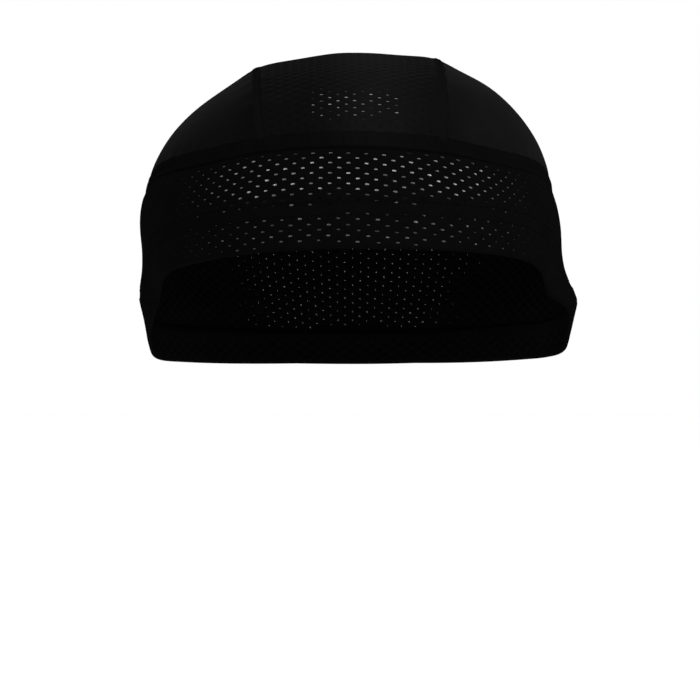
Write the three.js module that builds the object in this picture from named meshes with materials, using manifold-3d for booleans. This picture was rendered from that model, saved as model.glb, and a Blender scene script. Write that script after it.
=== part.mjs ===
// A close-fitting cycling skull cap, in millimetres, +Z up, front towards -Y.
// The origin is the inside of the crown's top, by which the cap is held up.
// Four cloth pieces are joined by flat cover-stitched seams: a pierced strip over the crown
// from front to back, a smooth crown panel at each side of it, and a pierced headband below them.
// The headband's lower edge is turned up inside to make the hem.

import * as THREE from "three";
import { mergeVertices } from "three/addons/utils/BufferGeometryUtils.js";
import Module from "manifold-3d";

const wasm = await Module();
wasm.setup();

// Cloth and seams
const CLOTH = 1.2; // wall of the knit
const PLY_GAP = 0.3; // between the two plies of the turned hem
const HEM_TURN = 13.5; // height of cloth turned up inside the hem
const HEM_ROUND = 0.8; // how far the fold at the hem is rounded
const EDGE_GAP = 0.4; // between the edges of two panels, under the seam
const SEAM_CLEAR = 0.3; // from the cloth to the seam's thread, which lies on it
const SEAM_THICK = 0.6;
const CROWN_SEAM_WIDTH = 4.6;
const BAND_SEAM_WIDTH = 6.4;

// The level sections of the stretched cap, by their drop below its top: the reach to each side
// of the top point, and how far behind that point the section is widest
const SECTIONS = [
  { drop: 0, left: 0, right: 0, front: 0, back: 0, widest: 0 },
  { drop: 2, left: 13, right: 18, front: 26, back: 28, widest: 0 },
  { drop: 7, left: 29.5, right: 37.5, front: 48, back: 52.5, widest: 2 },
  { drop: 17, left: 51.3, right: 57.4, front: 69.5, back: 76, widest: 4 },
  { drop: 35, left: 72, right: 73.8, front: 86.5, back: 94, widest: 6 },
  { drop: 58, left: 82, right: 81.2, front: 95.5, back: 103, widest: 8 },
  { drop: 80, left: 81.5, right: 83, front: 98.3, back: 102, widest: 10 },
  { drop: 100, left: 76, right: 77.5, front: 97, back: 96.5, widest: 12 },
  { drop: 124, left: 75, right: 77, front: 92, back: 88, widest: 14 },
];
const SQUARENESS = 2.25; // exponent of each section's outline, where 2 is an ellipse

// The hem and the seam on top of the headband, by yaw from the front (0) round to the back (180)
const HEM_LINE = [
  { yaw: 0, left: 80.7, right: 80.7 },
  { yaw: 22, left: 82.8, right: 81.5 },
  { yaw: 36, left: 85.3, right: 82.8 },
  { yaw: 48, left: 88, right: 85.2 },
  { yaw: 64, left: 93.4, right: 91.4 },
  { yaw: 74, left: 99, right: 96 },
  { yaw: 88, left: 111, right: 106 },
  { yaw: 98, left: 118.5, right: 116 },
  { yaw: 118, left: 121.5, right: 120 },
  { yaw: 180, left: 123, right: 123 },
];
const BAND_SEAM_LINE = [
  { yaw: 0, drop: 40.6 },
  { yaw: 20, drop: 42.4 },
  { yaw: 36, drop: 45.8 },
  { yaw: 64, drop: 49.4 },
  { yaw: 90, drop: 55 },
  { yaw: 180, drop: 59 },
];
// The two crown seams, by their turn over the crown from the front (0) to the back (1)
const CROWN_SEAM_LINE = [
  { turn: 0, left: -35, right: 36 },
  { turn: 0.5, left: -37.5, right: 33.5 },
  { turn: 1, left: -34, right: 34 },
];

// The bulge low on each side: its crest runs down and back from the first drop, y and lift to the
// second, and the cloth falls away from it by the widths ahead of it, behind it and above it
const SIDE_BULGES = [
  { side: -1, drop: [99, 119], y: [8, 20], lift: [8, 6], ahead: 13, behind: 30, above: 13 },
  { side: 1, drop: [100, 118], y: [8, 22], lift: [15, 12], ahead: 14, behind: 30, above: 13 },
];
const RIDGE = { lift: 2.2, width: 13, fade: 18 }; // the convex edge along each crown seam
const PUCKER = { depth: 0.9, width: 4.5 }; // the band seam draws the cloth in

// The piercings: a coarse stand-in for the finer mesh of the real cloth
const HOLE_ACROSS = 2.6;
const HOLE_SIDES = 6;
const BAND_HOLES = { columns: 10, yaw: 63 }; // the last column at each side is at this yaw
const BAND_HOLE_ROWS = [
  { from: "seam", away: 7.5, shifted: false },
  { from: "seam", away: 11.3, shifted: true },
  { from: "seam", away: 15.1, shifted: false },
  { from: "seam", away: 18.9, shifted: true },
  { from: "seam", away: 22.7, shifted: false },
  { from: "hem", away: 9.6, shifted: false },
  { from: "hem", away: 5.4, shifted: true },
];
const CROWN_HOLES = { rows: 12, from: 0.08, to: 0.92, inset: 0.17 }; // inset is a share of the width

const BLACK_MESH = { color: 0x0b0b0c, roughness: 0.85, metalness: 0 };
const BLACK_KNIT = { color: 0x121213, roughness: 0.8, metalness: 0 };
const BLACK_THREAD = { color: 0x0e0e0f, roughness: 0.7, metalness: 0 };

const LEFT = -1;
const RIGHT = 1;

// How finely the surfaces are drawn
const evenShares = (steps) => Array.from({ length: steps + 1 }, (_, k) => k / steps);
const CROWN_COLUMNS = evenShares(22);
const STRIP = { width: 72, rows: 8 };
const SIDE_PANEL = { width: 75, rows: 6 };
const CROWN_SEAM_LENGTH = 225;
const SEAM_ROWS = [0, 0.5, 1];
const HEADBAND_ROWS = [0, 0.08, 0.3, 0.52, 0.74]; // shares of its height above the hem
const RING_YAWS = evenShares(66).slice(1).map((share) => 360 * share);

// The middle of the form. Above its level cloth is offset away from it, and below it straight out.
const CORE = new THREE.Vector3(0, 8, CLOTH - 62);
const FAR = 160; // further from the core than any cloth
const SIDE_YAW = 88; // where a search along the rim of the crown ends at the side

const mix = (a, b, t) => a + (b - a) * t;
const clamp01 = (t) => Math.min(1, Math.max(0, t));
const smooth = (t) => clamp01(t) ** 2 * (3 - 2 * clamp01(t));
const fallOff = (distance, width) => Math.exp(-((distance / width) ** 2));

// The value of a table's column on a smooth curve through its rows, where key has the value at.
function readTable(rows, key, column, at, { scale = (x) => x, flatEnds = false } = {}) {
  const x = rows.map((row) => scale(row[key]));
  const y = rows.map((row) => row[column]);
  const last = rows.length - 1;
  const slope = (k) => {
    if (flatEnds && (k === 0 || k === last)) return 0;
    const before = Math.max(0, k - 1);
    const after = Math.min(last, k + 1);
    return (y[after] - y[before]) / (x[after] - x[before]);
  };
  let i = 0;
  while (i < last - 1 && at > x[i + 1]) i++;
  const span = x[i + 1] - x[i];
  const rise = y[i + 1] - y[i];
  const t = (at - x[i]) / span;
  const bend = (1 - t) * (slope(i) * span - rise) + t * (rise - slope(i + 1) * span);
  return mix(y[i], y[i + 1], t) + t * (1 - t) * bend;
}

// The level section at a drop below the top. Reaches are read by the root of the drop, so the top is round.
function sectionAt(drop) {
  const root = Math.sqrt(Math.max(0, drop));
  const read = (column) => readTable(SECTIONS, "drop", column, root, { scale: Math.sqrt });
  const widest = read("widest");
  return {
    widest,
    left: read("left"),
    right: read("right"),
    front: read("front") + widest,
    back: read("back") - widest,
  };
}

// How far out a place lies in a section: 1 is on its outline.
function outness(section, x, y) {
  const across = Math.abs(x) / (x < 0 ? section.left : section.right);
  const along = Math.abs(y) / (y < 0 ? section.front : section.back);
  return (across ** SQUARENESS + along ** SQUARENESS) ** (1 / SQUARENESS);
}

// The value between low and high at which a test changes from true to false.
function bisect(low, high, test) {
  for (let i = 0; i < 40; i++) {
    const middle = (low + high) / 2;
    if (test(middle)) low = middle;
    else high = middle;
  }
  return low;
}

// The point of the form that a ray reaches.
function formAlong(start, direction) {
  const pointAt = (reach) => start.clone().addScaledVector(direction, reach);
  const isInside = (reach) => {
    const p = pointAt(reach);
    const drop = CLOTH - p.z;
    if (drop <= 0) return false;
    const section = sectionAt(drop);
    return outness(section, p.x, p.y - section.widest) < 1;
  };
  return pointAt(bisect(0, FAR, isInside));
}

// The point of the form at a yaw round the section at a drop.
function formRound(yaw, drop) {
  const section = sectionAt(drop);
  const angle = THREE.MathUtils.degToRad(yaw);
  const x = Math.sin(angle);
  const y = -Math.cos(angle);
  const reach = 1 / outness(section, x, y);
  return new THREE.Vector3(x * reach, section.widest + y * reach, CLOTH - drop);
}

const yawOf = (p) => THREE.MathUtils.radToDeg(Math.atan2(p.x, sectionAt(CLOTH - p.z).widest - p.y));
const turnOf = (p) => Math.atan2(p.z - CORE.z, CORE.y - p.y) / Math.PI;

const fromFront = (yaw) => 180 - Math.abs(180 - (((yaw % 360) + 360) % 360));
const sideOf = (yaw) => (Math.sin(THREE.MathUtils.degToRad(yaw)) < 0 ? "left" : "right");
const hemDrop = (yaw) => readTable(HEM_LINE, "yaw", sideOf(yaw), fromFront(yaw), { flatEnds: true });
const bandSeamDrop = (yaw) =>
  readTable(BAND_SEAM_LINE, "yaw", "drop", fromFront(yaw), { flatEnds: true });
const crownSeamX = (side, turn) =>
  readTable(CROWN_SEAM_LINE, "turn", side === LEFT ? "left" : "right", clamp01(turn));

// How far the side bulges and the seams push a point of the form outwards.
function liftAt(p) {
  const below = CLOTH - p.z - bandSeamDrop(yawOf(p));
  let lift = -PUCKER.depth * fallOff(below, PUCKER.width);
  for (const bulge of SIDE_BULGES) {
    if (p.x * bulge.side <= 0) continue;
    const [start, end] = bulge.drop;
    const down = clamp01((CLOTH - p.z - start) / (end - start));
    const past = p.y - mix(...bulge.y, down);
    const over = Math.max(0, start - (CLOTH - p.z));
    const away = fallOff(past, past < 0 ? bulge.ahead : bulge.behind) * fallOff(over, bulge.above);
    lift += mix(...bulge.lift, down) * away;
  }
  for (const side of [LEFT, RIGHT]) {
    const off = Math.abs(p.x - crownSeamX(side, turnOf(p)));
    lift += RIDGE.lift * smooth(-below / RIDGE.fade) * Math.exp(-off / RIDGE.width);
  }
  return lift;
}

// A point of the form with its bulges, sunk by depth into the cloth, or raised off it where depth is negative.
function clothPoint(p, depth) {
  const middle = CORE.clone();
  middle.z = Math.min(CORE.z, p.z);
  const outwards = p.clone().sub(middle).normalize();
  return p.clone().addScaledVector(outwards, liftAt(p) - depth);
}

// A manifold solid from a geometry, with its shared vertices merged.
function solidOf(geometry) {
  const merged = mergeVertices(geometry, 1e-4);
  const corners = merged.index.array;
  const kept = [];
  for (let i = 0; i < corners.length; i += 3) {
    const [a, b, c] = corners.subarray(i, i + 3);
    if (a !== b && b !== c && a !== c) kept.push(a, b, c);
  }
  const vertProperties = merged.attributes.position.array;
  const triVerts = new Uint32Array(kept);
  return new wasm.Manifold(new wasm.Mesh({ numProp: 3, vertProperties, triVerts }));
}

// A solid swept through loops of points, back to the first of them if it is a ring.
// An open sweep has caps, and the second half of its loop lies under the first, in reverse.
function sweep(loops, isRing) {
  const size = loops[0].length;
  const faces = [];
  for (let i = 0; i < (isRing ? loops.length : loops.length - 1); i++) {
    const here = i * size;
    const next = ((i + 1) % loops.length) * size;
    for (let k = 0; k < size; k++) {
      const other = (k + 1) % size;
      faces.push([here + k, next + other, next + k], [here + k, here + other, next + other]);
    }
  }
  const end = (loops.length - 1) * size;
  for (let k = 0; !isRing && k < size / 2 - 1; k++) {
    const under = size - 1 - k;
    for (const [a, b, c] of [[k, k + 1, under], [k + 1, under - 1, under]]) {
      faces.push([a, c, b], [end + a, end + b, end + c]);
    }
  }
  const geometry = new THREE.BufferGeometry().setFromPoints(loops.flat());
  geometry.setIndex(faces.flat());
  return solidOf(geometry);
}

// A wall over a patch of the form, from its outside depth to its inside depth.
// Each path gives the form's point at a column, and the paths lie side by side.
function wall({ columns, paths, outside = 0, inside = CLOTH, isRing = false }) {
  const loops = columns.map((column) => {
    const form = paths.map((path) => path(column));
    const over = form.map((p) => clothPoint(p, outside));
    const under = form.map((p) => clothPoint(p, inside));
    return [...over, ...under.reverse()];
  });
  return sweep(loops, isRing);
}

// Shares of a panel's width, with one at the edge of the seam that covers each side of it.
function panelShares({ width, rows }, firstSeam, lastSeam) {
  const first = firstSeam / 2 / width;
  const last = 1 - lastSeam / 2 / width;
  return [0, ...evenShares(rows).map((share) => mix(first, last, share)), 1];
}

// The crown's lower rim at a yaw.
const crownRim = (yaw) => formRound(yaw, bandSeamDrop(yaw) - EDGE_GAP / 2);

// A path over the crown from rim to rim, by its share of the way. xAt gives its x at each turn.
function crownPath(xAt) {
  const side = Math.sign(xAt(0.5)) || RIGHT;
  const rimTurn = (fromYaw) => {
    const isNearer = (yaw) => Math.abs(crownRim(yaw).x) < Math.abs(xAt(turnOf(crownRim(yaw))));
    return turnOf(crownRim(bisect(fromYaw, side * SIDE_YAW, isNearer)));
  };
  const first = rimTurn(0);
  const last = rimTurn(side * 180);
  return (share) => {
    const turn = mix(first, last, share);
    const angle = Math.PI * turn;
    const start = new THREE.Vector3(xAt(turn), CORE.y, CORE.z);
    return formAlong(start, new THREE.Vector3(0, -Math.cos(angle), Math.sin(angle)));
  };
}

// A path over the centre strip, by its share of the way across from the left edge.
function stripPath(across) {
  const trim = EDGE_GAP / 2;
  return crownPath((turn) => mix(crownSeamX(LEFT, turn) + trim, crownSeamX(RIGHT, turn) - trim, across));
}

function crownStrip() {
  const shares = panelShares(STRIP, CROWN_SEAM_WIDTH, CROWN_SEAM_WIDTH);
  return wall({ columns: CROWN_COLUMNS, paths: shares.map(stripPath) });
}

// The smooth panel between a crown seam and the rim. It runs to a point at the front and the back.
function crownSidePanel(side) {
  const seam = crownPath((turn) => crownSeamX(side, turn) + (side * EDGE_GAP) / 2);
  const frontYaw = yawOf(seam(0));
  const backYaw = yawOf(seam(1));
  const pathAt = (down) => (share) => {
    const top = seam(share).sub(CORE);
    const rim = crownRim(mix(frontYaw, backYaw, share)).sub(CORE);
    const angle = Math.max(top.angleTo(rim), 1e-4);
    const direction = top
      .normalize()
      .multiplyScalar(Math.sin((1 - down) * angle))
      .addScaledVector(rim.normalize(), Math.sin(down * angle))
      .divideScalar(Math.sin(angle));
    return formAlong(CORE, direction);
  };
  const paths = panelShares(SIDE_PANEL, CROWN_SEAM_WIDTH, BAND_SEAM_WIDTH).map(pathAt);
  return wall({ columns: CROWN_COLUMNS, paths: side === LEFT ? paths.reverse() : paths });
}

// The headband's outline: down the outside, round the fold, up the turned ply and back between the plies.
// Each point has its share of the way from the seam to the hem, its mm below that, and its depth.
function headbandOutline() {
  const turned = CLOTH + PLY_GAP;
  const deep = turned + CLOTH;
  const down = HEADBAND_ROWS.map((share) => ({ share, below: 0, depth: 0 }));
  const up = HEADBAND_ROWS.map((share) => ({ share, below: 0, depth: CLOTH })).reverse();
  const hem = [
    { share: 1, below: -HEM_ROUND, depth: 0 },
    { share: 1, below: 0, depth: CLOTH / 2 },
    { share: 1, below: 0, depth: deep - CLOTH / 2 },
    { share: 1, below: -HEM_ROUND, depth: deep },
    { share: 1, below: -HEM_TURN, depth: deep },
    { share: 1, below: -HEM_TURN, depth: turned },
    { share: 1, below: -CLOTH, depth: turned },
    { share: 1, below: -CLOTH, depth: CLOTH },
  ];
  return [...down, ...hem, ...up];
}

function headband() {
  const outline = headbandOutline();
  const loops = RING_YAWS.map((yaw) =>
    outline.map(({ share, below, depth }) => {
      const drop = mix(bandSeamDrop(yaw) + EDGE_GAP / 2, hemDrop(yaw), share) + below;
      return clothPoint(formRound(yaw, drop), depth);
    }),
  );
  return sweep(loops, true);
}

const ON_THE_CLOTH = { outside: -SEAM_CLEAR - SEAM_THICK, inside: -SEAM_CLEAR };

// The cover stitch over a crown seam, which stops short of the band seam at both ends.
function crownSeam(side) {
  const start = (BAND_SEAM_WIDTH / 2 + EDGE_GAP) / CROWN_SEAM_LENGTH;
  const columns = [start, ...CROWN_COLUMNS.slice(1, -1), 1 - start];
  const paths = SEAM_ROWS.map((across) =>
    crownPath((turn) => crownSeamX(side, turn) + CROWN_SEAM_WIDTH * (across - 0.5)),
  );
  return wall({ columns, paths, ...ON_THE_CLOTH });
}

// The cover stitch all round the top of the headband.
function bandSeam() {
  const paths = SEAM_ROWS.map((down) => (yaw) =>
    formRound(yaw, bandSeamDrop(yaw) + BAND_SEAM_WIDTH * (down - 0.5)),
  );
  return wall({ columns: RING_YAWS, paths, isRing: true, ...ON_THE_CLOTH });
}

// A pin through both plies of the cloth at a point of the form.
function pin(p) {
  const outwards = clothPoint(p, 0).sub(clothPoint(p, CLOTH)).normalize();
  const turn = new THREE.Quaternion().setFromUnitVectors(new THREE.Vector3(0, 1, 0), outwards);
  const length = 5 * CLOTH;
  const geometry = new THREE.CylinderGeometry(HOLE_ACROSS / 2, HOLE_ACROSS / 2, length, HOLE_SIDES);
  geometry.applyQuaternion(turn).translate(...clothPoint(p, CLOTH));
  geometry.deleteAttribute("normal");
  geometry.deleteAttribute("uv");
  return solidOf(geometry);
}

const pierce = (solid, points) => solid.subtract(wasm.Manifold.union(points.map(pin)));

// The staggered piercings round the front of the headband.
function bandHoles() {
  const { columns, yaw: last } = BAND_HOLES;
  const step = (2 * last) / (columns - 1);
  return BAND_HOLE_ROWS.flatMap(({ from, away, shifted }) => {
    const first = shifted ? step / 2 - last : -last;
    return Array.from({ length: shifted ? columns - 1 : columns }, (_, c) => {
      const yaw = first + c * step;
      return formRound(yaw, from === "seam" ? bandSeamDrop(yaw) + away : hemDrop(yaw) - away);
    });
  });
}

// The staggered piercings down the crown's centre strip, three and two to a row.
function crownHoles() {
  const { rows, from, to, inset } = CROWN_HOLES;
  return evenShares(rows - 1).flatMap((share, row) => {
    const acrossRow = row % 2 ? [1 / 3, 2 / 3] : [0, 1 / 2, 1];
    return acrossRow.map((across) => stripPath(mix(inset, 1 - inset, across))(mix(from, to, share)));
  });
}

const cap = new THREE.Group();

function add(name, solid, finish) {
  const { vertProperties, triVerts } = solid.getMesh();
  const geometry = new THREE.BufferGeometry()
    .setAttribute("position", new THREE.BufferAttribute(vertProperties, 3))
    .setIndex(new THREE.BufferAttribute(triVerts, 1));
  geometry.computeVertexNormals();
  const mesh = new THREE.Mesh(geometry, new THREE.MeshStandardMaterial(finish));
  mesh.name = name;
  cap.add(mesh);
}

add("crown_centre_panel", pierce(crownStrip(), crownHoles()), BLACK_MESH);
add("crown_side_panel_left", crownSidePanel(LEFT), BLACK_KNIT);
add("crown_side_panel_right", crownSidePanel(RIGHT), BLACK_KNIT);
add("headband", pierce(headband(), bandHoles()), BLACK_MESH);
add("crown_seam_left", crownSeam(LEFT), BLACK_THREAD);
add("crown_seam_right", crownSeam(RIGHT), BLACK_THREAD);
add("band_seam", bandSeam(), BLACK_THREAD);

export default cap;
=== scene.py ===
# %% [markdown]
# # A stretch-mesh cycling cap
#
# This lesson dresses a close-fitting cycling skull cap. Its cloth is one thin black knit: a pierced
# strip over the crown, a smooth panel at each side of it, and a pierced headband whose lower edge is
# turned up inside as a hem. Flat cover-stitched seams join them.
#
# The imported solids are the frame. They say where each piece lies, and the pieces made here follow the
# same form, so nothing has to be fitted by eye.

# %% Load the frame
import math

import bmesh
import bpy
import numpy as np
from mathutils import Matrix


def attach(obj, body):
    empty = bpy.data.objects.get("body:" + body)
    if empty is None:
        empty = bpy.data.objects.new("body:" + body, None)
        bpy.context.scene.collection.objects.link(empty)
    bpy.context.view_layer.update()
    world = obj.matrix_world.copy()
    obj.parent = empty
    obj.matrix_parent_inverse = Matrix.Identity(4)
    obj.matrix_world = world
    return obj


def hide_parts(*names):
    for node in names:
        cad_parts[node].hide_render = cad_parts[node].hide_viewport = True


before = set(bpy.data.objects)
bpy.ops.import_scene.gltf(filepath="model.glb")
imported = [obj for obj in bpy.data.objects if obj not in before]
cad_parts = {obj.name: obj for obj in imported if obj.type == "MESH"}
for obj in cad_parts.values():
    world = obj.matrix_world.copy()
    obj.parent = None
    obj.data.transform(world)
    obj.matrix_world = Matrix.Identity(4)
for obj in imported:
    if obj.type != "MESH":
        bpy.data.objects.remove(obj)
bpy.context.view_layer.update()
print("frame nodes:", sorted(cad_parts))

# %% [markdown]
# ## The camera, the light and the floor
#
# The photograph was taken from the front, level, with a long lens. A level camera on the cap's middle
# keeps upright things upright. The lens is found from the width that the cap takes of the frame, and
# the camera's height from the row of the picture that is seen level.

# %% Camera
SENSOR = 0.036
FOCAL = 3000 / 700 * SENSOR  # the lens that makes 3000 pixels of focal length in a frame 700 wide
CAMERA_PLACE = (0.0, -1.192, -0.1164)
CLIP = (0.01, 60)


def add_object(name, data):
    """A new object of the scene, which holds the data."""
    made = bpy.data.objects.new(name, data)
    bpy.context.scene.collection.objects.link(made)
    return made


lens = bpy.data.cameras.new("camera")
lens.sensor_width = SENSOR * 1000
lens.lens = FOCAL * 1000
lens.clip_start, lens.clip_end = CLIP
camera = add_object("camera", lens)
camera.location = CAMERA_PLACE
camera.rotation_euler = (math.radians(90), 0, 0)
bpy.context.scene.camera = camera
print("camera lens", round(lens.lens, 1), "mm")

# %% [markdown]
# Black cloth shows its form only by soft light. A white surround lights it from all sides, as in a
# studio tent, and one large lamp above and to the right gives the crown a gentle slope of light. The
# floor is a plain pale disc far enough below to stay clear of the cap, which hangs by its crown.

# %% Floor and light
FLOOR = {"height": -0.33, "radius": 9.0, "corners": 64, "tone": (0.99, 0.99, 0.99, 1), "roughness": 0.8}
SURROUND = 1.0
LAMP_TARGET = (0, 0, -0.06)
LAMPS = [
    {"name": "key", "place": (0.95, -1.0, 1.3), "size": 0.9, "power": 35},
    {"name": "back", "place": (-1.2, 1.4, 1.2), "size": 0.9, "power": 25},
]
bpy.context.scene.view_settings.view_transform = "Standard"


def make_floor():
    turn = np.linspace(0, 2 * np.pi, FLOOR["corners"], endpoint=False)
    reach, height = FLOOR["radius"], np.full_like(turn, FLOOR["height"])
    corners = np.stack([reach * np.cos(turn), reach * np.sin(turn), height], axis=-1)
    mesh = bpy.data.meshes.new("floor")
    mesh.from_pydata(corners.tolist(), [], [range(len(corners))])
    material = bpy.data.materials.new("pale floor")
    material.use_nodes = True
    shader = material.node_tree.nodes["Principled BSDF"]
    shader.inputs["Base Color"].default_value = FLOOR["tone"]
    shader.inputs["Roughness"].default_value = FLOOR["roughness"]
    shader.inputs["Specular IOR Level"].default_value = 0
    mesh.materials.append(material)
    add_object("floor", mesh)


def make_lamp(name, place, size, power):
    """A square soft lamp at a place, which faces the cap."""
    light = bpy.data.lights.new(name, "AREA")
    light.size = size
    light.energy = power
    lamp = add_object(name, light)
    away = np.subtract(place, LAMP_TARGET)
    tilt = math.atan2(math.hypot(away[0], away[1]), away[2])
    lamp.location = place
    lamp.rotation_euler = (tilt, 0, math.atan2(away[0], -away[1]))


world = bpy.data.worlds.new("surround")
world.use_nodes = True
world.node_tree.nodes["Background"].inputs["Color"].default_value = (1, 1, 1, 1)
world.node_tree.nodes["Background"].inputs["Strength"].default_value = SURROUND
bpy.context.scene.world = world
make_floor()
for lamp in LAMPS:
    make_lamp(**lamp)
print("surround, key and back light are set")

# %% [markdown]
# ## The form of the cap
#
# A stretched cap has the shape of what it is pulled over, so its form is given as level sections: at
# each drop below the top, how far the cloth reaches to the left, right, front and back. The solids of
# the frame have the same form, apart from a finer hem line and crown here. The tables are in
# millimetres, and a curve is drawn through their rows.

# %% Sizes in millimetres
MM = 0.001
CLOTH = 1.2  # wall of the frame's cloth, whose inside touches the origin
KNIT = 0.7  # wall of the knit that shows
EDGE_GAP = 0.4  # between the edges of two cloths under a seam
HEM_DEEP = 1.7  # outside of the outer ply to inside of the turned ply
HEM_TURN = 15.1  # from the fold up to the hem's stitching
CROWN_SEAM_WIDTH = 4.6
BAND_SEAM_WIDTH = 7.6
BAND_SEAM_ABOVE = 4.4  # how much of that lies on the crown
LEFT, RIGHT = -1, 1

SECTIONS = [
    {"drop": 0, "left": 0, "right": 0, "front": 0, "back": 0, "widest": 0},
    {"drop": 2, "left": 13, "right": 18, "front": 26, "back": 28, "widest": 0},
    {"drop": 7, "left": 29.5, "right": 37.5, "front": 48, "back": 52.5, "widest": 2},
    {"drop": 17, "left": 51.3, "right": 57.4, "front": 69.5, "back": 76, "widest": 4},
    {"drop": 35, "left": 72, "right": 73.8, "front": 86.5, "back": 94, "widest": 6},
    {"drop": 58, "left": 82, "right": 81.2, "front": 95.5, "back": 103, "widest": 8},
    {"drop": 80, "left": 81.5, "right": 83, "front": 98.3, "back": 102, "widest": 10},
    {"drop": 100, "left": 76, "right": 77.5, "front": 97, "back": 96.5, "widest": 12},
    {"drop": 124, "left": 75, "right": 77, "front": 92, "back": 88, "widest": 14},
]
SQUARENESS = 2.25  # the power of a section's outline, where 2 is an ellipse
HEM_LINE = [
    {"yaw": 0, "left": 80.7, "right": 80.7},
    {"yaw": 22, "left": 82.8, "right": 81.5},
    {"yaw": 36, "left": 85.3, "right": 82.8},
    {"yaw": 48, "left": 88, "right": 85.2},
    {"yaw": 64, "left": 93.4, "right": 91.4},
    {"yaw": 74, "left": 99, "right": 96},
    {"yaw": 88, "left": 111, "right": 106},
    {"yaw": 98, "left": 120, "right": 117.5},
    {"yaw": 118, "left": 122.7, "right": 121.6},
    {"yaw": 180, "left": 123.6, "right": 123.6},
]
BAND_SEAM_LINE = [
    {"yaw": 0, "drop": 40.6},
    {"yaw": 20, "drop": 42.4},
    {"yaw": 36, "drop": 45.8},
    {"yaw": 64, "drop": 49.4},
    {"yaw": 90, "drop": 55},
    {"yaw": 180, "drop": 59},
]
CROWN_SEAM_LINE = [
    {"turn": 0, "left": -33, "right": 35},
    {"turn": 0.5, "left": -35.8, "right": 32.4},
    {"turn": 1, "left": -34, "right": 34},
]
SIDE_BULGES = [
    {"side": -1, "drop": (99, 119), "y": (8, 20), "lift": (8, 6), "ahead": 13},
    {"side": 1, "drop": (100, 118), "y": (8, 22), "lift": (13.4, 11.6), "ahead": 14},
]
BULGE_FADE = {"behind": 30, "above": 13}
SHOULDERS = [
    {"x": -60, "lift": 0.5, "width": 12},
    {"x": -33, "lift": 1.5, "width": 10},
    {"x": 0, "lift": -0.6, "width": 16},
    {"x": 31, "lift": 1.1, "width": 9},
    {"x": 54, "lift": 0.8, "width": 14},
]
SIDE_SWELL = {"below": 17, "lift": 0.9, "width": 13, "power": 4}
RIDGE = {"lift": 2.2, "width": 13, "fade": 18, "round": {LEFT: 6.5, RIGHT: 6}}
PUCKER = {"depth": 0.9, "width": 4.5}
CORE = np.array([0, 8, CLOTH - 62.0])  # the middle of the form, which rays start from
FAR = 160  # further out than any of the form
SIDE_YAW = 88  # where a path over the crown is furthest to its side
print("sections:", len(SECTIONS), "hem rows:", len(HEM_LINE))

# %% [markdown]
# NumPy works on whole arrays, so one call places thousands of points. Each table column becomes a
# smooth curve, and a section is a little squarer than an ellipse.

# %% The form as functions
LEAST_REACH = 1e-9  # keeps a section that is a point from dividing by zero
HALVINGS = {"ray": 34, "rim": 40}  # steps that close in on a place by halves


def mix(a, b, t):
    return a + (b - a) * t


def smooth(t):
    t = np.clip(t, 0, 1)
    return t * t * (3 - 2 * t)


def fall_off(distance, width):
    return np.exp(-((distance / width) ** 2))


def read_table(rows, key, column, at, scale=None, flat_ends=False):
    """The value of a column on a smooth curve through the rows, where key has the value at."""
    x = np.array([row[key] for row in rows], float)
    y = np.array([row[column] for row in rows], float)
    x = x if scale is None else scale(x)
    last = len(rows) - 1
    before = np.maximum(np.arange(last + 1) - 1, 0)
    after = np.minimum(np.arange(last + 1) + 1, last)
    slope = (y[after] - y[before]) / (x[after] - x[before])
    if flat_ends:
        slope[[0, last]] = 0
    i = np.clip(np.searchsorted(x, at) - 1, 0, last - 1)
    span, rise = x[i + 1] - x[i], y[i + 1] - y[i]
    t = (at - x[i]) / span
    bend = (1 - t) * (slope[i] * span - rise) + t * (rise - slope[i + 1] * span)
    return y[i] + t * rise + t * (1 - t) * bend


def section_at(drop):
    """The reaches of the level section at a drop below the top."""
    root = np.sqrt(np.maximum(drop, 0))
    section = {
        name: read_table(SECTIONS, "drop", name, root, scale=np.sqrt)
        for name in ("left", "right", "front", "back", "widest")
    }
    section["front"] = section["front"] + section["widest"]
    section["back"] = section["back"] - section["widest"]
    return section


def outness(section, x, y):
    """How far out a place lies in a section: 1 is on its outline."""
    across = np.abs(x) / np.maximum(np.where(x < 0, section["left"], section["right"]), LEAST_REACH)
    along = np.abs(y) / np.maximum(np.where(y < 0, section["front"], section["back"]), LEAST_REACH)
    return (across**SQUARENESS + along**SQUARENESS) ** (1 / SQUARENESS)


def form_round(yaw, drop):
    """The points of the form at yaws round its sections. Yaw 0 is the front, and 90 the right."""
    yaw, drop = np.broadcast_arrays(np.asarray(yaw, float), np.asarray(drop, float))
    section = section_at(drop)
    x, y = np.sin(np.radians(yaw)), -np.cos(np.radians(yaw))
    reach = 1 / outness(section, x, y)
    return np.stack([x * reach, section["widest"] + y * reach, CLOTH - drop], axis=-1)


def form_along(start, direction):
    """The points of the form that rays from start reach."""
    low = np.zeros(direction.shape[:-1])
    high = np.full(direction.shape[:-1], float(FAR))
    for _ in range(HALVINGS["ray"]):
        middle = (low + high) / 2
        p = start + direction * middle[..., None]
        drop = CLOTH - p[..., 2]
        section = section_at(drop)
        is_inside = (drop > 0) & (outness(section, p[..., 0], p[..., 1] - section["widest"]) < 1)
        low, high = np.where(is_inside, middle, low), np.where(is_inside, high, middle)
    return start + direction * low[..., None]


def yaw_of(p):
    return np.degrees(np.arctan2(p[..., 0], section_at(CLOTH - p[..., 2])["widest"] - p[..., 1]))


def turn_of(p):
    return np.arctan2(p[..., 2] - CORE[2], CORE[1] - p[..., 1]) / np.pi


def from_front(yaw):
    return 180 - np.abs(180 - np.mod(yaw, 360))


def hem_drop(yaw):
    sides = [
        read_table(HEM_LINE, "yaw", side, from_front(yaw), flat_ends=True) for side in ("left", "right")
    ]
    return np.where(np.sin(np.radians(yaw)) < 0, *sides)


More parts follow.
